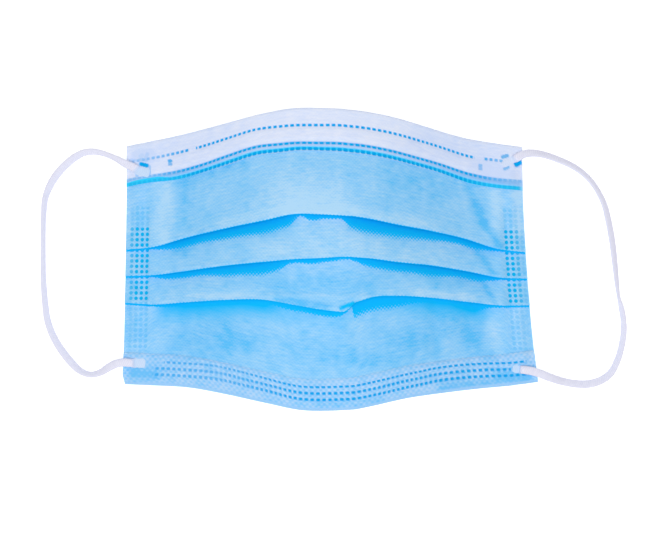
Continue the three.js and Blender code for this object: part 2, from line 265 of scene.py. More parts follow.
# How much closer together the hem's dots are: across, share
HEM_CROWDING = np.array([
    (-1.00, 0.00), (-0.55, 0.00), (-0.50, 0.17), (-0.18, 0.15), (-0.14, 0.00), (0.12, 0.00),
    (0.18, 0.18), (0.33, 0.16), (0.48, 0.08), (0.55, -0.09), (1.00, -0.06),
])
HEM_ROWS = ((9.2, 1.5, 1.0), (6.75, 1.5, 1.0), (4.2, 1.5, 1.0))  # height above the lower edge
HEM_REACH = ((-66.0, 78.0), (-70.5, 72.0), (-71.0, 79.0))  # x of both ends of each row
HEM_FADE = 0.7  # strength of the hem's dots at the left, where the tool pressed less
HEM_LINE = 0.2  # height of the painted shade along the fold at the lower edge
HEM_FEATHER = 1.2  # the hem thins out over this distance to its upper edge
HEM_RIM = 0.06  # how thick it is there, as a share
# How much deeper than its depth above each row of the band runs: across, upper, lower, in the strip
BAND_SWAY = np.array([
    (-1.00, 0.35, 0.35, -0.25),
    (-0.88, 0.33, 0.40, -0.30),
    (-0.75, 0.35, 0.85, 0.70),
    (-0.60, 0.20, 0.55, 0.45),
    (-0.47, -0.30, -0.30, -0.15),
    (-0.33, -0.65, -0.75, -0.75),
    (-0.20, 0.15, 0.15, 0.05),
    (-0.12, 0.35, 0.35, 0.05),
    (0.05, 0.15, 0.25, 0.15),
    (0.20, 0.10, 0.20, 0.20),
    (0.36, 0.05, 0.25, 0.25),
    (0.60, 0.00, 0.00, 0.10),
    (0.75, 0.55, 0.65, 1.05),
    (0.85, 0.25, 0.90, 1.15),
    (1.00, 0.40, 0.40, 0.90),
])
# How much higher than their heights above the hem's rows run: across, distance
HEM_SWAY = np.array([
    (-1.00, 0.40), (-0.80, 0.35), (-0.68, 0.55), (-0.61, 1.15), (-0.54, 1.60), (-0.47, 1.60),
    (-0.40, 1.40), (-0.33, 1.25), (-0.20, 0.70), (0.00, 0.50), (0.25, 0.30), (0.40, 0.50),
    (0.51, 1.05), (0.60, 1.00), (0.75, 0.55), (0.90, -0.20), (1.00, -0.20),
])
DENT = 0.25  # depth of a weld dot
WIRE_RISE = 0.3  # how far the hidden nose wire lifts the band
STRIP_STOP = (74.4, 79.5)  # x where the strip starts to fade out at the right, and would end
STRIP_WALL = 0.4  # how thick the welded strip below the band is, as a share of the band
# Columns of the side seams: distance of the first from the side edge, pitch, strength of each
LEFT_SEAM = (2.5, 2.07, (0.75, 1.0, 1.0, 1.0))
RIGHT_SEAM = (1.2, 2.15, (0.25, 0.75, 1.0, 1.0))
SEAM_TOPS = (12.2, 11.1)  # y of the highest row of dots at the left and at the right
SEAM_ROWS = 14
SEAM_PITCH = 2.12
SEAM_DOT = 0.35  # radius, as a share of the pitch
SEAM_FAINT = 0.32  # strength of the rows above and below, where the tool pressed less
SEAM_FAINT_REACH = (21.0, -36.0)  # y of the highest and the lowest of those

# Ear loops: flat knitted elastic, welded on at the corners
ELASTIC = (3.3, 1.4)  # width and thickness
FLOOR_LEVEL = 1.5  # height of the loops' middle line on the floor
OVER_CLOTH = 4.3  # height of the loops' middle line where they pass over the cloth
# Routes of their middle lines: x, y, and the height of a point that isn't on the floor
LEFT_LOOP = (
    (-78.2, 36.7, OVER_CLOTH), (-79.9, 37.4, OVER_CLOTH), (-81.8, 38.3, OVER_CLOTH), (-84.5, 39.8, 3.8),
    (-87.5, 41.2, 2.6), (-91.0, 42.5, 1.8), (-94.3, 43.1), (-97.9, 42.8), (-101.5, 41.2),
    (-105.0, 38.5), (-108.6, 34.8), (-111.8, 29.8), (-113.8, 24.4), (-114.4, 18.0), (-114.6, 10.0),
    (-114.6, 1.0), (-114.5, -7.5), (-113.9, -16.5), (-112.8, -24.5), (-110.4, -31.0), (-107.0, -36.6),
    (-103.0, -41.5), (-99.5, -44.6), (-95.5, -45.9), (-91.8, -45.0, 1.8), (-88.6, -43.1, 2.6),
    (-85.5, -41.5, 3.8), (-82.4, -40.9, OVER_CLOTH), (-79.4, -41.1, OVER_CLOTH),
)
RIGHT_LOOP = (
    (74.2, 40.5, OVER_CLOTH), (75.8, 41.4, OVER_CLOTH), (78.0, 42.2, OVER_CLOTH), (81.3, 42.4, 3.7),
    (84.5, 42.0, 2.6), (88.0, 41.1, 1.8), (92.0, 39.6), (96.0, 37.8), (100.0, 35.3), (103.5, 32.1),
    (106.6, 27.8), (109.3, 22.4), (111.2, 15.0), (112.5, 8.0), (113.6, -1.0), (114.5, -10.0),
    (115.1, -14.8), (116.2, -19.2), (117.2, -27.0), (116.4, -34.0), (114.4, -40.8), (111.6, -45.7),
    (107.4, -48.5), (102.5, -49.7), (97.5, -49.5), (93.5, -48.8, 1.8), (90.0, -47.8, 2.6),
    (86.6, -46.6, 3.8), (83.4, -45.3, OVER_CLOTH), (79.6, -44.2, OVER_CLOTH), (76.1, -43.7, OVER_CLOTH),
)
# How the flat elastic turns on its way: share of its length, degrees from lying flat
LEFT_TURNS = (
    (0, 0), (0.07, 58), (0.14, 46), (0.24, 25), (0.33, 58), (0.6, 60), (0.72, 42), (0.8, 32), (0.88, 54),
    (0.95, 10), (1, 0),
)
RIGHT_TURNS = (
    (0, 15), (0.05, 33), (0.12, 42), (0.25, 52), (0.35, 42), (0.45, 51), (0.52, 72), (0.545, 89),
    (0.565, 110), (0.61, 116), (0.72, 130), (0.8, 152), (0.88, 155), (0.95, 178), (1, 180),
)

# Welded ends of the loops: the CAD node, centre, turn in degrees, length and width of the pressed pad, and
# how far it has melted into the cloth's colour
WELDS = (
    ("weld_tab_top_left", (-74.6, 35.0), 168, 5.2, 3.6, 0.5),
    ("weld_tab_top_right", (71.0, 38.9), 27, 5.4, 2.7, 0.3),
    ("weld_tab_bottom_left", (-76.0, -41.2), 178, 4.6, 3.9, 0.45),
    ("weld_tab_bottom_right", (74.4, -43.6), -5, 3.6, 3.4, 0.6),
)
PAD_LEVEL = 3.38  # height of the middle of a pressed pad
PAD_WALL = 0.45  # its thickness
PAD_ROUND = 0.8  # length of a pad's rounded end

# Marks that the welding tool left on the nose band: x, y, half length, half height, turn, strength
BAND_MARKS = (
    (-74.2, 37.8, 2.0, 0.85, -14, 1.0),
    (-78.6, 39.6, 1.6, 0.6, -10, 0.25),
    (-74.4, 39.8, 1.9, 0.7, -5, 0.3),
    (-73.2, 41.2, 0.7, 1.6, -25, 0.2),
    (-75.2, 41.4, 1.1, 0.8, 30, 0.12),
    (-71.8, 35.6, 0.5, 2.0, 0, 0.4),
    (-77.0, 34.0, 0.6, 1.3, 0, 0.45),
    (-63.7, 39.3, 0.95, 0.6, 0, 0.85),
    (-63.6, 38.0, 0.9, 0.65, 0, 0.65),
    (59.7, 37.5, 0.85, 0.6, 0, 0.55),
    (59.7, 36.2, 0.85, 0.65, 0, 0.5),
    (69.6, 41.2, 1.6, 0.75, 16, 0.75),
    (74.8, 38.5, 1.7, 1.2, 32, 1.0),
    (70.2, 36.5, 1.4, 0.65, 26, 0.6),
)
BAND_GAPS = ((-56.2, -53.0), (57.6, 61.0))  # stretches of the upper row, in x, that the tool left out


# Curves and sections

def smooth(low, high, value):
    """0 below low, 1 above high, and a smooth ramp between them."""
    share = np.clip((value - low) / (high - low), 0, 1)
    return share * share * (3 - 2 * share)


def mix(a, b, share):
    return a + (b - a) * share


def through(knots, values, at):
    """A smooth curve through a table's values, at any places along it."""
    knots = np.asarray(knots, float)
    values = np.asarray(values, float)
    slopes = np.gradient(values, knots, axis=0)
    index = np.clip(np.searchsorted(knots, at) - 1, 0, len(knots) - 2)
    width = knots[index + 1] - knots[index]
    t = (at - knots[index]) / width
    if values.ndim > 1:
        width = width[:, None]
        t = t[:, None]
    start = (1 + 2 * t) * (1 - t) ** 2 * values[index] + t * (1 - t) ** 2 * width * slopes[index]
    end = t * t * (3 - 2 * t) * values[index + 1] + t * t * (t - 1) * width * slopes[index + 1]
    return start + end


def unit(vectors):
    return vectors / np.maximum(np.linalg.norm(vectors, axis=-1, keepdims=True), 1e-9)


def opening_at(index, across):
    """How far a flap stands open at places across the mask."""
    return np.maximum(0, through(OPENINGS[:, 0], OPENINGS[:, index + 1], np.clip(across, -1, 1)))


def section_at(across):
    """Everything that sections of the mask are made from, at places across it."""
    top, *folds, bottom = (through(SECTIONS[:, 0], SECTIONS[:, n], across) for n in range(1, 6))
    side = np.abs(across)
    arch = smooth(0, STRIP - CREST, STRIP - side)
    press = mix(1, PRESSED, smooth(STRIP, STRIP + PRESS_EASE, side))
    layer = LAYER * press
    tuck = mix(TUCK_SIDE, TUCK_MIDDLE, arch)
    # height of the painted pocket shade where a flap lies closed, and where it is welded down
    closed_line = mix(POCKET_LINE, SEAM_LINE, smooth(STRIP, STRIP + SEAM_EASE, side))
    pleats = []
    for index, y in enumerate(folds):
        opening = STAND_OFF * np.mean([opening_at(index, across + shift) for shift in EASE], axis=0)
        step = y - folds[index + 1] if index < 2 else folds[1] - y
        flap = BASE + 2 * layer + 2 * layer * TUCK_SIDE / PLEAT_STEP + arch * RISE_FOLDS[index]
        mouth = flap - 2 * layer - opening
        pleats.append({
            "y": y, "flap": flap, "mouth": mouth, "inner": mouth - 2 * layer * tuck / step, "tuck": tuck,
            "open": opening, "shade": opening_at(index, across) + closed_line, "bend": layer / 2,
        })
    return {"across": across, "top": top, "bottom": bottom, "arch": arch, "press": press, "pleats": pleats}


def upper_panel(cut, down):
    """The cloth's middle above the first flap's edge, at a distance down from the upper edge."""
    pleat = cut["pleats"][0]
    reach = cut["top"] - pleat["y"] - pleat["bend"]
    arched = BASE + cut["arch"] * mix(RISE_TOP, RISE_FOLDS[0], smooth(0, 1, down / reach))
    past = np.maximum(0, (down - BAND_DEPTH) / (reach - BAND_DEPTH))
    lifted = pleat["flap"] - BASE - cut["arch"] * RISE_FOLDS[0]
    return cut["top"] - down, arched + lifted * past ** UPPER_LIFT


def lower_panel(cut, up):
    """The cloth's middle below the last flap's edge, at a distance up from the lower edge."""
    pleat = cut["pleats"][2]
    reach = pleat["y"] - cut["bottom"]
    share = 1 - up / reach
    arched = BASE + cut["arch"] * mix(RISE_FOLDS[2], RISE_BOTTOM, np.maximum(share, 0) ** LOWER_FALL)
    before = np.maximum(0, 1 - share / (1 - HEM_DEPTH / reach))
    sunk = BASE + cut["arch"] * RISE_FOLDS[2] - pleat["mouth"]
    return cut["bottom"] + up, arched - sunk * before ** LOWER_SINK


def panel_between(above, below, share):
    """The cloth's middle from under one flap to the edge of the next flap."""
    y = mix(above["y"], below["y"] + below["bend"], share)
    rise = below["flap"] - above["mouth"] - above["open"]
    return y, above["mouth"] + rise * share + above["open"] * (1 - (1 - share) ** PANEL_SWELL)


def distance_from(start, end, x, y):
    """Distance of each place from a straight line between two points."""
    along = np.array(end) - np.array(start)
    share = np.clip(((x - start[0]) * along[0] + (y - start[1]) * along[1]) / (along @ along), 0, 1)
    return np.hypot(x - start[0] - share * along[0], y - start[1] - share * along[1])


def strokes(table, x, y):
    """Sum of soft strokes, each with a start, an end, a half width and a weight."""
    total = np.zeros_like(x)
    for start, end, half_width, weight in table:
        total = total + weight * np.exp(-((distance_from(start, end, x, y) / half_width) ** 2))
    return total


def swaying(along, away, wave):
    length, sway, sway_length = wave
    return np.sin(along / length + sway * np.sin(away / sway_length))


def relief(x, y):
    """Height of the soft creases and of the cloth's small unevenness."""
    uneven = swaying(x, y, WAVES_ACROSS) * swaying(y, x, WAVES_DOWN)
    return UNEVEN * uneven + strokes(CREASES, x, y)


def painted_light_and_web_tone(points):
    """Painted light, shade and web tone at each point of a grid: paler above 0, deeper below."""
    x, y = points[..., 0], points[..., 1]
    return strokes(PAINTED_LIGHT_AND_WEB_TONES, x, y) + CREASE_SHADING * strokes(CREASES, x, y)


def edge_x(edge, y):
    """x of a side edge."""
    return edge[0] + edge[1] * y + edge[2] * y * y


def slanted_left(y):
    """x of the left edge, with its slanted lower corner."""
    return edge_x(LEFT_EDGE, y) + CORNER_CUT[0] * smooth(*CORNER_CUT[1:], -y)


def laid_out(cut, y, z):
    """Points of the mask in space, from the y and z of its sections, with the creases added."""
    across = cut["across"][:, None]
    x = mix(slanted_left(y), edge_x(RIGHT_EDGE, y), (across + 1) / 2)
    loose = smooth(0, CREASE_EASE, cut["arch"])[:, None]
    sunk = DROOP * smooth(DROOP_FROM, 1, np.abs(across))
    return np.stack([x, y, z + loose * relief(x, y) - sunk], axis=-1)


def stacked(rows, count):
    """Rows of values at count sections as grids, one for each value: sections by points along a section."""
    return [np.stack([np.broadcast_to(value, count) for value in values], axis=1) for values in zip(*rows)]


def half_turn(y, z, radius, towards, count):
    """Points round a fold from its upper layer to its lower one. The fold's middle is at (y, z)."""
    angles = np.linspace(0.5 * math.pi, -0.5 * math.pi, count)
    return [(y + towards * radius * math.cos(a), z + radius * math.sin(a)) for a in angles]


# Meshes

SHARP_ANGLE = 55  # degrees: folds sharper than this show as edges


def facing(middle):
    """The way that the outer face looks at each point of a grid."""
    down = unit(np.diff(middle, axis=1))
    down = np.concatenate([down[:, :1], down[:, 1:] + down[:, :-1], down[:, -1:]], axis=1)
    right = np.gradient(middle, axis=0)
    return unit(np.cross(down, right))


def grid_faces(index, closed=False):
    """Four-sided faces between neighbours in a grid of vertex numbers."""
    rows = np.concatenate([index, index[:, :1]], axis=1) if closed else index
    corners = (rows[:-1, :-1], rows[:-1, 1:], rows[1:, 1:], rows[1:, :-1])
    return np.stack(corners, axis=-1).reshape(-1, 4)


def mesh_piece(name, points, faces, marks):
    """A mesh object with smooth faces and named values at its points."""
    mesh = bpy.data.meshes.new(name)
    mesh.from_pydata((points * MM).tolist(), [], [list(face) for face in faces])
    for label, values in marks.items():
        vector = values.ndim == 2
        attribute = mesh.attributes.new(label, "FLOAT_VECTOR" if vector else "FLOAT", "POINT")
        attribute.data.foreach_set("vector" if vector else "value", values.astype(np.float32).ravel())
    mesh.validate()
    mesh.shade_smooth()
    mesh.set_sharp_from_angle(angle=math.radians(SHARP_ANGLE))
    piece = bpy.data.objects.new(name, mesh)
    bpy.context.scene.collection.objects.link(piece)
    return piece


def wall_faces(front, back):
    """Faces of a closed wall between two grids of vertex numbers: its front, its rims and its back."""
    rims = np.concatenate([
        grid_faces(np.stack([back[:, 0], front[:, 0]], axis=1)),
        grid_faces(np.stack([front[:, -1], back[:, -1]], axis=1)),
        grid_faces(np.stack([front[0], back[0]], axis=1)),
        grid_faces(np.stack([back[-1], front[-1]], axis=1)),
    ])
    return grid_faces(front), rims, grid_faces(back)[:, ::-1]


def wall(name, middle, thickness, lift, marks, materials):
    """A closed wall of cloth about its middle surface. lift raises the outer face; marks lie on it.

    The front and the rims are of the first material, and the back is of the last.
    """
    out = facing(middle)
    half = thickness[..., None] / 2
    outer = middle + out * (half + lift[..., None])
    inner = middle - out * half
    points = np.concatenate([outer.reshape(-1, 3), inner.reshape(-1, 3)])
    index = np.arange(outer[..., 0].size).reshape(outer.shape[:2])
    sides = wall_faces(index, index + index.size)
    doubled = {}
    for label, values in marks.items():
        vector = values.ndim == 3
        flat = values.reshape(-1, 3) if vector else values.ravel()
        doubled[label] = np.concatenate([flat, flat if vector else 0 * flat])
    piece = mesh_piece(name, points, np.concatenate(sides), doubled)
    for material in materials:
        piece.data.materials.append(material)
    slots = np.repeat([0, 0, len(materials) - 1], [len(faces) for faces in sides])
    piece.data.polygons.foreach_set("material_index", slots.astype(np.int32))
    return piece


def put_in_place(piece, node):
    """Puts a piece on the mask's body in place of a solid, which it hides."""
    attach(piece, "root")
    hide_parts(node)


def run_length(points, axis):
    """Distance along a grid's lines from their first points."""
    steps = np.linalg.norm(np.diff(points, axis=axis), axis=-1)
    return np.insert(np.cumsum(steps, axis=axis), 0, 0, axis=axis)


def cloth_places(cut, middle):
    """Where each point lies on the cloth laid out flat, for the patterns of its material."""
    along = np.broadcast_to(cut["across"][:, None] * HALF_WIDTH, middle.shape[:2])
    return np.stack([along, run_length(middle, 1), np.zeros(middle.shape[:2])], axis=-1)


# Weld dots

DOT_EDGE = 0.3  # width of a dot's soft edge, as a share of its half size
DENT_EDGE = 0.1  # half the width of the slope round a dent of the side seams, as a share of the pitch


def dot(along, away, length, height):
    """1 inside an oval dot, 0 outside it, with a soft edge."""
    squared = np.sqrt(np.hypot((2 * along / length) ** 2, (2 * away / height) ** 2))
    return np.clip((1 + DOT_EDGE / 2 - squared) / DOT_EDGE, 0, 1)


def dot_row(along, depth, row):
    at, length, height = row
    step = ((along / DOT_PITCH) % 1 - 0.5) * DOT_PITCH
    return dot(step, depth - at, length, height)


def mark(x, y, place):
    """A single mark of the welding tool."""
    at_x, at_y, half_length, half_height, turn, strength = place
    angle = math.radians(turn)
    along = (x - at_x) * math.cos(angle) + (y - at_y) * math.sin(angle)
    away = (y - at_y) * math.cos(angle) - (x - at_x) * math.sin(angle)
    return strength * dot(along, away, 2 * half_length, 2 * half_height)


def seam_marks(middle):
    """Where each point lies in the grid of dots at the sides: column, row, and how hard it is pressed."""
    x, y = middle[..., 0], middle[..., 1]
    left = x < 0
    inset = np.where(left, x - edge_x(LEFT_EDGE, y), edge_x(RIGHT_EDGE, y) - x)
    row = (np.where(left, *SEAM_TOPS) - y) / SEAM_PITCH
    pressed = (row > -0.5) & (row < SEAM_ROWS - 0.5)
    reached = (y < SEAM_FAINT_REACH[0]) & (y > SEAM_FAINT_REACH[1])
    strength = np.where(pressed, 1, np.where(reached, SEAM_FAINT, 0))
    seams = (LEFT_SEAM, RIGHT_SEAM)
    column = np.where(left, *[(inset - first) / pitch for first, pitch, _ in seams])
    nearest = np.clip(np.round(column), -1, len(LEFT_SEAM[2])).astype(int) + 1
    weights = [np.array((0, *strengths, 0))[nearest] for _, _, strengths in seams]
    return np.stack([column, row, strength * np.where(left, *weights)], axis=-1)


def seam_dents(marks):
    """How far each point is pressed in by the seams' dots."""
    away = np.hypot(*np.moveaxis(marks[..., :2] - np.round(marks[..., :2]), -1, 0))
    return marks[..., 2] * np.clip((SEAM_DOT + DENT_EDGE - away) / (2 * DENT_EDGE), 0, 1)


# Materials

def linear(hex_colour):
    """An sRGB hex colour as the linear values that shaders take."""
    values = [int(hex_colour[n:n + 2], 16) / 255 for n in (1, 3, 5)]
    return (*[v / 12.92 if v <= 0.04045 else ((v + 0.055) / 1.055) ** 2.4 for v in values], 1)


def add(tree, kind, inputs=None, **settings):
    """Adds a node with its settings. An input is a value, a socket, or a node for its first output."""
    made = tree.nodes.new("ShaderNode" + kind)
    for name, value in settings.items():
        setattr(made, name, value)
    for name, value in (inputs or {}).items():
        source = value.outputs[0] if isinstance(value, bpy.types.Node) else value
        if isinstance(source, bpy.types.NodeSocket):
            tree.links.new(source, made.inputs[name])
        else:
            made.inputs[name].default_value = source
    return made


def new_material(name):
    material = bpy.data.materials.new(name)
    material.use_nodes = True
    material.node_tree.nodes.clear()
    return material, material.node_tree


def close(tree, shader):
    add(tree, "OutputMaterial", {"Surface": shader})


FIBRE_LENGTH = 4  # streaks of fibres that lie along the cloth
FIBRE_WIDTH = 0.8
STREAKINESS = 0.5
CLOUD = 8  # thick and thin places of the fibre web
CLOUDINESS = 0.5
TONE_WEIGHT = 0.3  # how much the web thins out at a tone of 1
WEB_PALE = 0.26  # how much paler the colour is painted at a tone of 1, for light and shade and thin web
WEB_DENSE = 0.76
BOND_PITCH = 1.5  # bond points of the calender roller, drawn a little coarser than real ones to show
HEM_PITCH = 2.3  # the hem's roller has larger points
BOND_HEIGHT = 0.35  # of the bond points, as a share of the streaks' height
FUZZ = 0.1  # height of the streaks
LIGHT_SPREAD = 0.4  # how far light spreads inside the cloth
FRAY = 0.28  # how far a pocket's painted shade breaks up into bond points at its edge, as a share of its fade
SEAM_SOFT = 0.06  # half the width of a seam dot's soft edge, as a share of the pitch


def bond_grid(tree, cloth, pitch):
    """Staggered bond points: 1 at the middle of a point, -1 between points."""
    turned = add(tree, "VectorMath", {0: cloth, 1: (math.tau / pitch,) * 3}, operation="MULTIPLY")
    apart = add(tree, "SeparateXYZ", {0: turned})
    across = add(tree, "Math", {0: apart.outputs["X"]}, operation="COSINE")
    down = add(tree, "Math", {0: apart.outputs["Y"]}, operation="COSINE")
    return add(tree, "Math", {0: across, 1: down}, operation="MULTIPLY")


def fibre_streaks(tree, cloth):
    """Fine streaks of fibres along the cloth."""
    stretch = (1 / FIBRE_LENGTH, 1 / FIBRE_WIDTH, 1)
    stretched = add(tree, "VectorMath", {0: cloth, 1: stretch}, operation="MULTIPLY")
    return add(tree, "TexNoise", {"Vector": stretched, "Scale": 1, "Detail": 3})


def fibre_web(tree, cloth, bonds, streaks, bond_tint):
    """How dense the web looks: 0 thin and pale, 1 thick, with the painted light and shade of the tone
    added.
    """
    clouds = add(tree, "TexNoise", {"Vector": cloth, "Scale": 1 / CLOUD, "Detail": 5, "Roughness": 0.7})
    cloudy = add(tree, "Math", {0: clouds, 1: CLOUDINESS}, operation="MULTIPLY")
    streaked = add(tree, "Math", {0: streaks, 1: STREAKINESS, 2: cloudy}, operation="MULTIPLY_ADD")
    bonded = add(tree, "Math", {0: bonds, 1: bond_tint, 2: streaked}, operation="MULTIPLY_ADD")
    paler = add(tree, "Attribute", attribute_name="painted_light_and_web_tone").outputs["Fac"]
    toned = add(tree, "Math", {0: paler, 1: -TONE_WEIGHT, 2: bonded}, operation="MULTIPLY_ADD")
    return add(tree, "MapRange", {"Value": toned, "From Min": WEB_PALE, "From Max": WEB_DENSE})


def frayed_pocket(tree, bonds):
    """Share of a pocket's painted deep shade: its edge breaks up into bond points over a softer painted
    shade.
    """
    painted_pocket_shade = add(tree, "Attribute", attribute_name="painted_pocket_shade").outputs["Fac"]
    frayed = add(tree, "Math", {0: bonds, 1: FRAY, 2: painted_pocket_shade}, operation="MULTIPLY_ADD")
    share = add(tree, "MapRange", {"Value": frayed, "From Min": FRAY, "From Max": 1 - FRAY})
    soft_painted_shade = add(tree, "Attribute", attribute_name="soft_painted_shade").outputs["Fac"]
    return add(tree, "Math", {0: share, 1: soft_painted_shade}, operation="MAXIMUM")


def seam_dots(tree):
    """Share of weld at the round dots of the side seams."""
    seam = add(tree, "Attribute", attribute_name="seam").outputs["Vector"]
    apart = add(tree, "SeparateXYZ", {0: seam})
    column = add(tree, "Math", {0: apart.outputs["X"], 1: 0.5}, operation="PINGPONG")
    row = add(tree, "Math", {0: apart.outputs["Y"], 1: 0.5}, operation="PINGPONG")
    away = add(tree, "CombineXYZ", {"X": column, "Y": row})
    distance = add(tree, "VectorMath", {0: away}, operation="LENGTH").outputs["Value"]
    limits = {"From Min": SEAM_DOT + SEAM_SOFT, "From Max": SEAM_DOT - SEAM_SOFT}
    inside = add(tree, "MapRange", {"Value": distance, **limits})
    return add(tree, "Math", {0: inside, 1: apart.outputs["Z"]}, operation="MULTIPLY")


def nonwoven(name, light, dense, weld, bond_tint=0.045, pitch=BOND_PITCH, painted_shade_colour=None, strip=None):
    """Spunbond polypropylene: a web of fine matt fibres, bonded by a roller with small raised points.

    The eye sees a soft matt sheet with cloudy thick and thin places, faint streaks along the cloth and a
    fine grid of bond points. On top of these, painted light and shade make it paler or deeper: on crests,
    creases and under the flaps. Where it is welded it is pressed clear and shows its full colour. Under the
    flaps, the pockets' shade is painted in a deep saturated colour, whose edge breaks up into bond points.
    strip is the colour of a strip along an edge: the nose band's welded strip, and on the hem a painted
    shade along its lower fold.
    """
    material, tree = new_material(name)
    cloth = add(tree, "Attribute", attribute_name="cloth").outputs["Vector"]
    bonds = bond_grid(tree, cloth, pitch)
    streaks = fibre_streaks(tree, cloth)
    web = fibre_web(tree, cloth, bonds, streaks, bond_tint)
    colour = add(tree, "MixRGB", {0: web, 1: linear(light), 2: linear(dense)})
    if strip:
        along_edge = add(tree, "Attribute", attribute_name="strip").outputs["Fac"]
        colour = add(tree, "MixRGB", {0: along_edge, 1: colour, 2: linear(strip)})
    if painted_shade_colour:
        colour = add(tree, "MixRGB", {0: frayed_pocket(tree, bonds), 1: colour, 2: linear(painted_shade_colour)})
    pressed = add(tree, "Attribute", attribute_name="weld").outputs["Fac"]
    dots = add(tree, "Math", {0: pressed, 1: seam_dots(tree)}, operation="MAXIMUM")
    colour = add(tree, "MixRGB", {0: dots, 1: colour, 2: linear(weld)})
    grain = add(tree, "Math", {0: bonds, 1: BOND_HEIGHT, 2: streaks}, operation="MULTIPLY_ADD")
    bump = add(tree, "Bump", {"Height": grain, "Strength": 0.25, "Distance": FUZZ * MM})
    shader = add(tree, "BsdfPrincipled", {
        "Base Color": colour, "Roughness": 0.85, "Specular IOR Level": 0.06, "Normal": bump,
        "Subsurface Weight": 0.25, "Subsurface Radius": (1, 1, 1), "Subsurface Scale": LIGHT_SPREAD * MM,
    })
    close(tree, shader)
    return material


KNIT_STEP = 0.8  # rows of the knitted elastic, drawn coarser than real ones to show
KNIT_ZIGZAG = 2.2  # the rows turn back after this distance round the cord
KNIT_SLANT = 0.5  # how steeply they slant
KNIT_HEIGHT = 0.25  # of the rows, as a share of the yarn's unevenness
KNIT_DEPTH = 0.12  # height of the stitches
YARN = 1.5  # size of the yarn's uneven places


def knitted_elastic(name, light, shade, melted):
    """Knitted polyamide over elastane: a soft white cord with fine rows of stitches across it.

    At its ends the welding tool has pressed it into a smooth film, which takes on the cloth's colour.
    """
    material, tree = new_material(name)
    cloth = add(tree, "Attribute", attribute_name="cloth").outputs["Vector"]
    melt = add(tree, "Attribute", attribute_name="melt").outputs["Fac"]
    apart = add(tree, "SeparateXYZ", {0: cloth})
    around, along = apart.outputs["X"], apart.outputs["Y"]
    zigzag = add(tree, "Math", {0: around, 1: KNIT_ZIGZAG}, operation="PINGPONG")
    slanted = add(tree, "Math", {0: zigzag, 1: KNIT_SLANT, 2: along}, operation="MULTIPLY_ADD")
    rows = add(tree, "Math", {0: slanted, 1: math.tau / KNIT_STEP}, operation="MULTIPLY")
    wave = add(tree, "Math", {0: rows}, operation="SINE")
    uneven = add(tree, "TexNoise", {"Vector": cloth, "Scale": 1 / YARN, "Detail": 4})
    height = add(tree, "Math", {0: wave, 1: KNIT_HEIGHT, 2: uneven}, operation="MULTIPLY_ADD")
    stitched = add(tree, "MapRange", {"Value": height, "From Min": 0.1, "From Max": 0.9})
    # painted shade: the knit is coloured darker where its stitches lie low, mixed with the yarn's own
    # uneven tone
    knit = add(tree, "MixRGB", {0: stitched, 1: linear(shade), 2: linear(light)})
    colour = add(tree, "MixRGB", {0: melt, 1: knit, 2: linear(melted)})
    depth = add(tree, "MapRange", {"Value": melt, "From Max": 0.3, "To Min": 0.3, "To Max": 0.03})
    bump = add(tree, "Bump", {"Height": height, "Strength": depth, "Distance": KNIT_DEPTH * MM})
    shader = add(tree, "BsdfPrincipled", {
        "Base Color": colour, "Roughness": 0.8, "Specular IOR Level": 0.2, "Normal": bump,
    })
    close(tree, shader)
    return material


PAPER_GLOW = 0.45  # strength of the light from behind
PAPER_TOOTH = 0.5  # size of the paper's grain
TOOTH_DEPTH = 0.05  # and its depth


def matt_paper(name, colour):
    """White backdrop paper lit from behind, as on a light table: even, with the faintest tooth."""
    material, tree = new_material(name)
    place = add(tree, "TexCoord").outputs["Object"]
    tooth = add(tree, "TexNoise", {"Vector": place, "Scale": 1 / (PAPER_TOOTH * MM), "Detail": 2})
    bump = add(tree, "Bump", {"Height": tooth, "Strength": 0.05, "Distance": TOOTH_DEPTH * MM})
    shader = add(tree, "BsdfPrincipled", {
        "Base Color": linear(colour), "Roughness": 0.95, "Specular IOR Level": 0.0,
        "Emission Color": linear("#ffffff"), "Emission Strength": PAPER_GLOW, "Normal": bump,
    })
    close(tree, shader)
    return material


# the last blue is the painted shade in the pockets under the flaps
BLUE = nonwoven("blue_spunbond_polypropylene", "#b2dbf9", "#5cbff8", "#06b3ee", painted_shade_colour="#0abcfa")
WHITE = nonwoven("white_spunbond_polypropylene", "#e8ecfb", "#ccdbfa", "#00a7ee", 0.03, strip="#34ceff")
LINING = nonwoven("white_lining_spunbond", "#f0f2fa", "#e0e6f4", "#c8d4ea")
# the hem's strip colour is the painted shade along its lower fold
HEM = nonwoven("pale_blue_hem_spunbond", "#bedafa", "#70c2f8", "#10a6ee", 0.12, HEM_PITCH, strip="#9cccf8")
ELASTIC_KNIT = knitted_elastic("white_knitted_elastic", "#eaeaf8", "#dbdbef", "#a4d4f8")
PAPER = matt_paper("white_backdrop_paper", "#f4f4f4")


# Camera, light and floor

WORLD = 0.44  # strength of the white surroundings
KEY_PLACE = (-0.05, -0.16, 1.10)  # metres: a large soft light beside the camera, so pleats aren't black
KEY_SIZE = 0.8  # metres
KEY_POWER = 8.25  # watts
FLOOR_REACH = 3.0  # metres


def make_camera():
    data = bpy.data.cameras.new("camera")
    data.sensor_width = SENSOR
    data.lens = SENSOR * CAMERA_HEIGHT / PICTURE_WIDTH
    camera = bpy.data.objects.new("camera", data)
    camera.location = (CAMERA_OVER[0] * MM, CAMERA_OVER[1] * MM, CAMERA_HEIGHT * MM)
    bpy.context.scene.collection.objects.link(camera)
    bpy.context.scene.camera = camera


def make_light(name, place, size, power):
    """A square light that points at the middle of the mask."""
    data = bpy.data.lights.new(name, "AREA")
    data.size = size
    data.energy = power
    light = bpy.data.objects.new(name, data)
    light.location = place
    towards = -light.location
    light.rotation_euler = towards.to_track_quat("-Z", "Y").to_euler()
    bpy.context.scene.collection.objects.link(light)


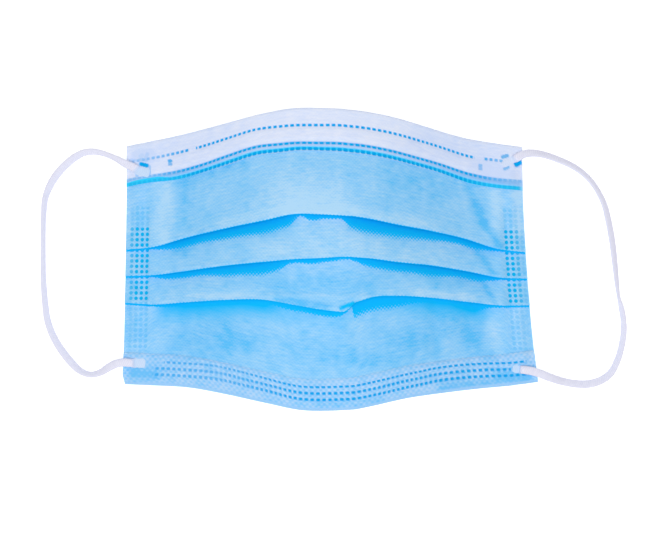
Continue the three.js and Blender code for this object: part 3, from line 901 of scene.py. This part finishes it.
def make_studio():
    world = bpy.data.worlds.new("studio")
    world.use_nodes = True
    sky = world.node_tree.nodes["Background"].inputs
    sky["Color"].default_value = (1, 1, 1, 1)
    sky["Strength"].default_value = WORLD
    bpy.context.scene.world = world
    bpy.context.scene.view_settings.view_transform = "Standard"
    make_light("key", KEY_PLACE, KEY_SIZE, KEY_POWER)
    corners = FLOOR_REACH * np.array([(-1, -1, 0), (1, -1, 0), (1, 1, 0), (-1, 1, 0)])
    floor = mesh_piece("floor", corners / MM, [(0, 1, 2, 3)], {})
    floor.data.materials.append(PAPER)


# Ear loops

FLATTENING = 0.8  # power that makes the elastic's oval section flatter
CURVE_POINTS = 40  # for each point of a route, while its length is measured
LOOP_STEP = 0.7  # between the rings of a loop
LOOP_SIDES = 20
LIFT_OFF = 1.0  # a loop has left the floor where its middle line is this far above FLOOR_LEVEL
FLOOR_GAP = 0.05  # between the elastic and the floor


def oval_rings(line, turn, half_width, half_wall, sides):
    """Rounded flat rings about a line, each turned about it, as a grid: places along by places round."""
    ahead = unit(np.gradient(line, axis=0))
    level = unit(np.cross(ahead, (0.0, 0.0, 1.0)))
    up = np.cross(level, ahead)
    wide = np.cos(turn)[:, None] * level + np.sin(turn)[:, None] * up
    thick = np.cross(wide, ahead)
    angles = np.linspace(0, math.tau, sides, endpoint=False)
    round_oval = (np.cos(angles), np.sin(angles))
    along_width, along_wall = (np.sign(value) * np.abs(value) ** FLATTENING for value in round_oval)
    offset = (half_width[:, None] * along_width)[..., None] * wide[:, None]
    offset = offset + (half_wall[:, None] * along_wall)[..., None] * thick[:, None]
    return line[:, None] + offset


def tube(name, rings, melt):
    """A closed tube of elastic through rings of points, melted as far as melt says at each ring."""
    count, sides = rings.shape[:2]
    index = np.arange(count * sides).reshape(count, sides)
    faces = grid_faces(index, closed=True).tolist()
    faces.append(index[0].tolist())
    faces.append(index[-1][::-1].tolist())
    along = run_length(rings.mean(axis=1), 0)
    around = np.linspace(0, 2 * sum(ELASTIC), sides)
    places = np.stack([
        np.broadcast_to(around, (count, sides)),
        np.broadcast_to(along[:, None], (count, sides)),
        np.zeros((count, sides)),
    ], axis=-1)
    marks = {"cloth": places.reshape(-1, 3), "melt": np.repeat(melt, sides)}
    piece = mesh_piece(name, rings.reshape(-1, 3), faces, marks)
    piece.data.materials.append(ELASTIC_KNIT)
    return piece


def even_line(route, step):
    """Evenly spaced points on a smooth curve through a route."""
    route = np.array(route, float)
    chord = run_length(route, 0)
    close_points = through(chord, route, np.linspace(0, chord[-1], CURVE_POINTS * len(route)))
    length = run_length(close_points, 0)
    at = np.linspace(0, length[-1], round(length[-1] / step))
    return np.stack([np.interp(at, length, close_points[:, n]) for n in range(3)], axis=1)


def ear_loop(name, route, turns):
    line = even_line([(*point, FLOOR_LEVEL)[:3] for point in route], LOOP_STEP)
    knots, degrees = np.array(turns, float).T
    turn = np.radians(through(knots, degrees, np.linspace(0, 1, len(line))))
    half_width, half_wall = (np.full(len(line), size / 2) for size in ELASTIC)
    lowest = np.hypot(half_width * np.sin(turn), half_wall * np.cos(turn))
    resting = 1 - smooth(FLOOR_LEVEL, FLOOR_LEVEL + LIFT_OFF, line[:, 2])
    line[:, 2] = mix(line[:, 2], lowest + FLOOR_GAP, resting)
    rings = oval_rings(line, turn, half_width, half_wall, LOOP_SIDES)
    loop = tube(name + "_elastic", rings, np.zeros(len(line)))
    put_in_place(loop, name)
    round(run_length(line, 0)[-1] * MM, 4)


PAD_STEP = 0.25  # between the rings of a pad
PAD_SIDES = 24
PAD_NEAR = 0.3  # a pad lies level as far as this past its middle, as a share of its length
PAD_FLAT = 0.85  # and thickens into the loop from here on
PAD_TIP = 0.7  # width of its far end, as a share
PAD_STUB = 0.9  # size of the stub that reaches into the loop, as a share of the loop's
PAD_NECK = 0.3  # length over which it narrows to that


def weld_pad(name, centre, turn, length, width, melted, loop):
    """The end of a loop, pressed flat and melted onto the cloth. It reaches a little way into the loop."""
    angle = math.radians(turn)
    towards = np.array([math.cos(angle), math.sin(angle), 0])
    middle = np.array([*centre, PAD_LEVEL])
    far = middle - towards * length / 2
    near = middle + towards * length * PAD_NEAR
    line = even_line([far, middle, near, *loop], PAD_STEP)
    along = run_length(line, 0)
    joint = along[np.argmin(np.linalg.norm(line - loop[0], axis=1))]
    loose = smooth(PAD_FLAT * length, joint, along)
    inside = mix(1, PAD_STUB, smooth(joint - PAD_NECK, joint, along))
    rounded = mix(PAD_TIP, 1, np.sqrt(np.clip(along / PAD_ROUND, 0, 1)))
    half_width = mix(width / 2 * rounded, ELASTIC[0] / 2, loose) * inside
    half_wall = mix(PAD_WALL / 2, ELASTIC[1] / 2, loose) * inside
    rings = oval_rings(line, np.zeros(len(line)), half_width, half_wall, PAD_SIDES)
    pad = tube(name + "_melted", rings, melted * (1 - loose))
    put_in_place(pad, name)


# Pleated cloth

FINE_FROM = 0.87  # across: columns of points are close together from here out
KINK_END = 0.16  # and from the middle to here
SIDE_COLUMNS = 30
LEFT_COLUMNS = 62
KINK_COLUMNS = 24
RIGHT_COLUMNS = 54
EDGE_ROWS = 7  # rows of points under the nose band, and under the hem
UPPER_ROWS = (20, 18)  # from the band to the first flap, before and after UPPER_FINE of the way
UPPER_FINE = 0.72  # they are closer together after this
FOLD_ROWS = 8  # round a fold
TUCK_ROWS = 7  # along a hidden layer of a pleat
PANEL_ROWS = 28  # between two flaps
LOWER_ROWS = 36  # from the last flap to the hem
LOWER_CROWDING = 1.2  # power that brings those closer together near the flap
TIP_SHADE = (0.05, 0.2)  # a pocket's painted shade starts between these shares of the way round a flap's edge
TUCK_EDGE = (0.6, 1.4)  # soft edge of the small tuck's painted shade, as shares of its half width
HIDDEN = 0.99  # seam dots don't show where the share of a pocket's painted shade is above this


def columns_across():
    """Places across the mask where the pleated cloth has its columns of points."""
    left = np.linspace(-1, -FINE_FROM, SIDE_COLUMNS, endpoint=False)
    loose = np.linspace(-FINE_FROM, 0, LEFT_COLUMNS, endpoint=False)
    kink = np.linspace(0, KINK_END, KINK_COLUMNS, endpoint=False)
    right = np.linspace(KINK_END, FINE_FROM, RIGHT_COLUMNS)
    return np.concatenate([left, loose, kink, right, -left[::-1]])


def pocket_shade(pleat, y):
    """How deep a pocket's shade is painted on the panel under a flap: 1 at the flap's edge, 0 in the open.
    """
    return 1 - smooth(*POCKET_FADE, (pleat["y"] - CLOTH / 2 - y) / pleat["shade"])


def soft_shade(cut, index, y):
    """How strongly a flap's soft shade is painted on a place on the panel under it, with no clear edge."""
    strength = np.interp(cut["across"], GLOOM[:, 0], GLOOM[:, index + 1])
    return strength * (1 - smooth(0, GLOOM_REACH, cut["pleats"][index]["y"] - y))


def upper_rows(cut):
    """Rows of the cloth from its upper edge to the first flap: y, z, painted pocket shade and soft painted
    shade.
    """
    first = cut["pleats"][0]
    reach = cut["top"] - first["y"] - first["bend"]
    for down in np.linspace(EDGE, BAND_DEPTH, EDGE_ROWS)[:-1]:
        yield (*upper_panel(cut, np.full_like(reach, down)), 0, 0)
    coarse = np.linspace(0, UPPER_FINE, UPPER_ROWS[0], endpoint=False)
    fine = np.linspace(UPPER_FINE, 1, UPPER_ROWS[1])
    for share in (*coarse, *fine):
        yield (*upper_panel(cut, mix(BAND_DEPTH, reach, share)), 0, 0)


def pleat_rows(pleat):
    """Rows round a flap's edge, back under the flap, round the inner fold and out again."""
    y, bend, inner = pleat["y"], pleat["bend"], pleat["inner"]
    tip = half_turn(y + bend, pleat["flap"] - bend, bend, -1, FOLD_ROWS)[1:]
    for row, shade in zip(tip, smooth(*TIP_SHADE, np.linspace(0, 1, len(tip)))):
        yield (*row, shade, 0)
    under = (y + bend, pleat["flap"] - 2 * bend)
    back = (y + pleat["tuck"] - bend, inner + 2 * bend)
    shares = np.linspace(0, 1, TUCK_ROWS)[1:-1]
    for share in shares:
        yield (mix(under[0], back[0], share), mix(under[1], back[1], share), 1, 0)
    for row in half_turn(back[0], inner + bend, bend, 1, FOLD_ROWS):
        yield (*row, 1, 0)
    for share in shares:
        yield (mix(back[0], y, share), mix(inner, pleat["mouth"], share), 1, 0)


def panel_rows(cut, index):
    """Rows of the panel under a flap, as far as the next flap or the hem, with the flap's shade painted on
    it.
    """
    pleat = cut["pleats"][index]
    if index < 2:
        below = cut["pleats"][index + 1]
        rows = [panel_between(pleat, below, share) for share in np.linspace(0, 1, PANEL_ROWS)]
    else:
        shares = np.linspace(0, 1, LOWER_ROWS) ** LOWER_CROWDING
        rows = [lower_panel(cut, mix(pleat["y"] - cut["bottom"], HEM_DEPTH, share)) for share in shares]
    for y, z in rows:
        yield (y, z, pocket_shade(pleat, y), soft_shade(cut, index, y))


def cloth_rows(cut):
    """Rows of the whole cloth, from the upper edge to the lower one."""
    yield from upper_rows(cut)
    for index, pleat in enumerate(cut["pleats"]):
        yield from pleat_rows(pleat)
        yield from panel_rows(cut, index)
    for up in np.linspace(HEM_DEPTH, EDGE, EDGE_ROWS)[1:]:
        yield (*lower_panel(cut, np.full_like(cut["top"], up)), 0, 0)


def pleated_panel():
    cut = section_at(columns_across())
    y, z, painted_pocket_shade, soft_painted_shade = stacked(cloth_rows(cut), len(cut["across"]))
    middle = laid_out(cut, y, z)
    tuck = distance_from(*TUCK[:2], middle[..., 0], middle[..., 1]) / TUCK[2]
    # the small tuck is painted shade only, not a fold in the cloth's shape
    soft_painted_shade = np.maximum(soft_painted_shade, 1 - smooth(*TUCK_EDGE, tuck))
    seam = seam_marks(middle)
    seam[..., 2] = np.where(painted_pocket_shade < HIDDEN, seam[..., 2], 0)
    thickness = np.broadcast_to(CLOTH * cut["press"][:, None], painted_pocket_shade.shape)
    marks = {"cloth": cloth_places(cut, middle), "painted_pocket_shade": painted_pocket_shade, "soft_painted_shade": soft_painted_shade, "seam": seam,
             "painted_light_and_web_tone": painted_light_and_web_tone(middle)}
    panel = wall("pleated_panel_cloth", middle, thickness, -DENT * seam_dents(seam), marks, (BLUE, LINING))
    put_in_place(panel, "pleated_panel")


# Strips folded over the edges

STRIP_COLUMNS = 520  # of points across a strip
TURN_ROWS = 9  # rows of points round the fold over an edge
BACK_ROWS = 8  # and down the back
DOT_ZONE = 0.95  # rows of points are close together as far as this from the middle of a row of dots
BAND_STEPS = (0.26, 0.4)  # between the band's rows of points, there and elsewhere
HEM_STEPS = (0.28, 0.6)
SETTLE = 0.8  # how much of the gap under it a strip sinks into where it thins out to nothing


def folded_over(cloth, from_edge):
    """Middle of a strip folded over an edge of the cloth, from the front leg's end to the back leg's end.

    cloth is a grid of the cloth's middle from the edge inwards, and from_edge says which rows the back
    leg follows.
    """
    inward = cloth[:, ::-1]
    out = facing(inward) if cloth[0, 0, 1] < 0 else facing(cloth)[:, ::-1]
    edge, edge_out = inward[:, -1], out[:, -1]
    away = unit(edge - inward[:, -2])
    front = inward + LEG * out
    angles = np.linspace(0, math.pi, TURN_ROWS)[1:-1]
    turn = np.stack([edge + LEG * (math.cos(a) * edge_out + math.sin(a) * away) for a in angles], axis=1)
    back = (inward - LEG * out)[:, ::-1][:, from_edge]
    return np.concatenate([front, turn, back], axis=1)


def strip_grid(panel, row_depth, depths, back_depth, at_top):
    """Sections, middle, depths and front of a strip folded over an edge of a panel.

    Its rows are in the order that makes its outer face look out.
    """
    cut = section_at(np.linspace(-1, 1, STRIP_COLUMNS))
    rows = [panel(cut, row_depth(cut, depth)) for depth in depths]
    cloth = laid_out(cut, *stacked(rows, STRIP_COLUMNS))
    back_depths = np.linspace(EDGE, back_depth, BACK_ROWS)
    back_rows = [int(np.argmin(np.abs(np.array(depths) - depth))) for depth in back_depths]
    middle = folded_over(cloth, back_rows)
    depth = np.array(depths[::-1] + [0] * (middle.shape[1] - len(depths)))
    front = np.arange(len(depth)) < len(depths)
    if at_top:
        middle, depth, front = middle[:, ::-1], depth[::-1], front[::-1]
    return cut, middle, np.broadcast_to(depth, middle.shape[:2]), front


def strip_depths(rows, reach, fine, coarse):
    """Depths from the edge in, close together across the rows of dots."""
    depths = [EDGE]
    while depths[-1] < reach:
        near = min(abs(depths[-1] - row[0]) for row in rows)
        depths.append(depths[-1] + (fine if near < DOT_ZONE else coarse))
    depths[-1] = reach
    return depths


def thinned(cut, middle, share):
    """The middle and the thickness of a strip whose outer face sinks where its wall is thinner."""
    whole = BINDING * cut["press"][:, None]
    lowered = (whole / 2 + SETTLE * GAP) * (1 - share)
    return middle - facing(middle) * lowered[..., None], whole * share


def along_rows(points, crowding):
    """Distance along each row from the middle of the mask, stretched where the dots crowd together."""
    steps = np.linalg.norm(np.diff(points, axis=0), axis=-1)
    steps = steps * (1 + crowding[1:, None])
    length = np.insert(np.cumsum(steps, axis=0), 0, 0, axis=0)
    return length - length[len(points) // 2]


def put_strip_in_place(strip, node):
    """Puts a strip in place."""
    put_in_place(strip, node)


# Nose band. A pair says where something starts to change, and where it has.

FLANKS = (0.25, 0.55)  # across: the dots crowd together
NARROWING = (0.5, 0.8)  # across: the strip narrows
FADING = (54, 76)  # distance from the middle: the dots fade
FADED = 0.5  # to this strength
LOWER_KEPT = 0.3  # share of the lower row's strength that doesn't fade
JOINED = (0.7, 0.2, 0.9)  # line through the lower row's dots: strength, how far above their middle, height
RUN_TOGETHER = (50, 66)  # distance from the middle: the strip's dots run together into a line
LINE_PRESS = 0.2  # strength of that line
LINE_COVER = 0.5  # how much of the dots it covers
STRIP_EDGE = (-0.3, 0.15)  # depth past the strip's start: its colour begins
STRIP_FADE = 0.55  # how much of its colour is gone at its lower edge, in the middle of the mask
STRIP_FADE_ENDS = (0.45, 0.75)  # across: that fading ends
STRIP_DENT = 0.3  # depth of its dots, as a share of the band's
RIM = (12.9, 13.7)  # depth: the pressed rim begins
RIM_SIDES = (0.4, 0.8)  # across: it is pressed as at the sides
RIM_END = 0.5  # its strength where the strip has faded out at the right, as a share
WIRE_ABOVE = (7.2, 8.4)  # depth: the wire lifts the band
WIRE_BELOW = (11.2, 12.4)  # depth: the lift ends
WIRE_EASE = 0.1  # the wire ends where the arch is lower than this share of its height


def band_depth(cut, depth):
    """Depth of one of the band's rows at places across: it sways, and the strip narrows to the sides."""
    upper, lower, strip = (through(BAND_SWAY[:, 0], BAND_SWAY[:, n], cut["across"]) for n in (1, 2, 3))
    first, second, third = (row[0] for row in (*BAND_ROWS, STRIP_ROW))
    narrow = mix(1, STRIP_ENDS, smooth(*NARROWING, np.abs(cut["across"])))
    if depth < first:
        return depth + upper * smooth(EDGE, first, depth)
    if depth < second:
        return depth + mix(upper, lower, (depth - first) / (second - first))
    if depth < third:
        return depth + mix(lower, strip, (depth - second) / (third - second))
    return third + strip + (depth - third) * narrow


def along_band(cut, middle):
    return along_rows(middle, FLANK_CROWDING * smooth(*FLANKS, np.abs(cut["across"])))


def band_dots(cut, middle, depth):
    """How strongly each point of the band's front is welded, apart from the strip below it."""
    x, y = middle[..., 0], middle[..., 1]
    along = along_band(cut, middle)
    ends = mix(1, FADED, smooth(*FADING, np.abs(x)))
    upper = dot_row(along, depth, BAND_ROWS[0]) * ends
    for start, end in BAND_GAPS:
        upper = upper * ((x < start) | (x > end))
    strength, above, height = JOINED
    joined = strength * dot(0, depth - BAND_ROWS[1][0] + above, 1, height)
    lower = np.maximum(dot_row(along, depth, BAND_ROWS[1]), joined) * mix(LOWER_KEPT, 1, ends)
    dots = np.maximum(upper, lower)
    for place in BAND_MARKS:
        dots = np.maximum(dots, mark(x, y, place))
    return dots


def strip_dots(cut, middle, depth):
    """Dots of the strip below the band, which run together into a line towards the sides."""
    dots = dot_row(along_band(cut, middle), depth, STRIP_ROW)
    sides = smooth(*RUN_TOGETHER, np.abs(middle[..., 0]))
    line = dot(0, depth - STRIP_ROW[0], 1, STRIP_ROW[2]) * sides
    return np.maximum(dots * (1 - LINE_COVER * line), LINE_PRESS * line)


def welded_strip(cut, depth):
    """1 in the welded strip below the band, 0 above it."""
    start = BAND_DEPTH + np.interp(cut["across"], *STRIP_LAG.T)[:, None]
    return smooth(start + STRIP_EDGE[0], start + STRIP_EDGE[1], depth)


def strip_colour_left(cut, depth):
    """Share of the strip's colour that is left. In the middle of the mask it fades to its lower edge."""
    faded = mix(STRIP_FADE, 0, smooth(*STRIP_FADE_ENDS, np.abs(cut["across"])))[:, None]
    return 1 - faded * smooth(STRIP_ROW[0], BAND_DEPTH + BAND_WELD, depth)


def pressed_rim(cut, depth):
    """How strongly the band's lower rim is pressed."""
    return mix(*RIM_PRESS, smooth(*RIM_SIDES, np.abs(cut["across"])))[:, None] * smooth(*RIM, depth)


def wire_lift(cut, depth):
    """How far the hidden nose wire lifts the band."""
    lift = WIRE_RISE * smooth(*WIRE_ABOVE, depth) * (1 - smooth(*WIRE_BELOW, depth))
    return lift * smooth(0, WIRE_EASE, cut["arch"])[:, None]


def nose_band():
    depths = strip_depths((*BAND_ROWS, STRIP_ROW), BAND_DEPTH + BAND_WELD, *BAND_STEPS)
    cut, middle, depth, front = strip_grid(upper_panel, band_depth, depths, BAND_BACK, True)
    kept = front * (1 - smooth(*STRIP_STOP, middle[..., 0]))
    strip = welded_strip(cut, depth) * kept
    rim = pressed_rim(cut, depth) * (1 - strip) * mix(RIM_END, 1, kept) * front
    strip = strip * strip_colour_left(cut, depth)
    dots = np.maximum(band_dots(cut, middle, depth) * front, strip_dots(cut, middle, depth) * kept)
    lift = wire_lift(cut, depth) * front - DENT * dots * mix(1, STRIP_DENT, strip)
    middle, thickness = thinned(cut, middle, mix(1, STRIP_WALL, strip))
    marks = {"cloth": cloth_places(cut, middle), "weld": np.maximum(dots, rim), "strip": strip,
             "painted_light_and_web_tone": painted_light_and_web_tone(middle)}
    band = wall("nose_band_cloth", middle, thickness, lift, marks, (WHITE, LINING))
    put_strip_in_place(band, "nose_band")


# Hem

HEM_CALM = 0.6  # the rows' sway starts to end this far above the highest row
HEM_PRESSED = (-45, -15)  # x where the hem's dots start to be pressed fully, and are


def hem_height(cut, height):
    """Height of one of the hem's rows over the lower edge at each place across."""
    sway = through(HEM_SWAY[:, 0], HEM_SWAY[:, 1], cut["across"])
    highest, _, lowest = (row[0] for row in HEM_ROWS)
    calm = smooth(highest + HEM_CALM, HEM_DEPTH, height)
    return height + sway * smooth(EDGE, lowest, height) * (1 - calm)


def hem_dots(cut, middle, depth):
    """How strongly each point of the hem's front is welded."""
    x = middle[..., 0]
    along = along_rows(middle, np.interp(cut["across"], *HEM_CROWDING.T))
    dots = np.zeros(middle.shape[:2])
    for row, (start, end) in zip(HEM_ROWS, HEM_REACH):
        dots = np.maximum(dots, dot_row(along, depth, row) * ((x > start) & (x < end)))
    return dots * mix(HEM_FADE, 1, smooth(*HEM_PRESSED, x))


def bottom_hem():
    depths = strip_depths(HEM_ROWS, HEM_DEPTH, *HEM_STEPS)
    cut, middle, depth, front = strip_grid(lower_panel, hem_height, depths, HEM_BACK, False)
    dots = hem_dots(cut, middle, depth) * front
    # painted shade along the fold at the lower edge
    painted_fold_shade = 1 - smooth(EDGE, EDGE + HEM_LINE, depth)
    feather = smooth(HEM_DEPTH - HEM_FEATHER, HEM_DEPTH, depth)
    middle, thickness = thinned(cut, middle, mix(1, HEM_RIM, feather))
    marks = {"cloth": cloth_places(cut, middle), "weld": dots, "strip": painted_fold_shade, "painted_light_and_web_tone": painted_light_and_web_tone(middle)}
    hem = wall("bottom_hem_cloth", middle, thickness, -DENT * dots, marks, (HEM, LINING))
    put_strip_in_place(hem, "bottom_hem")


# The mask in its studio

make_camera()
make_studio()
ear_loop("ear_loop_left", LEFT_LOOP, LEFT_TURNS)
ear_loop("ear_loop_right", RIGHT_LOOP, RIGHT_TURNS)
LOOP_ENDS = (LEFT_LOOP[:2], RIGHT_LOOP[:2], LEFT_LOOP[:-3:-1], RIGHT_LOOP[:-3:-1])
for weld, loop_end in zip(WELDS, LOOP_ENDS):
    weld_pad(*weld, np.array(loop_end, float))
pleated_panel()
nose_band()
bottom_hem()
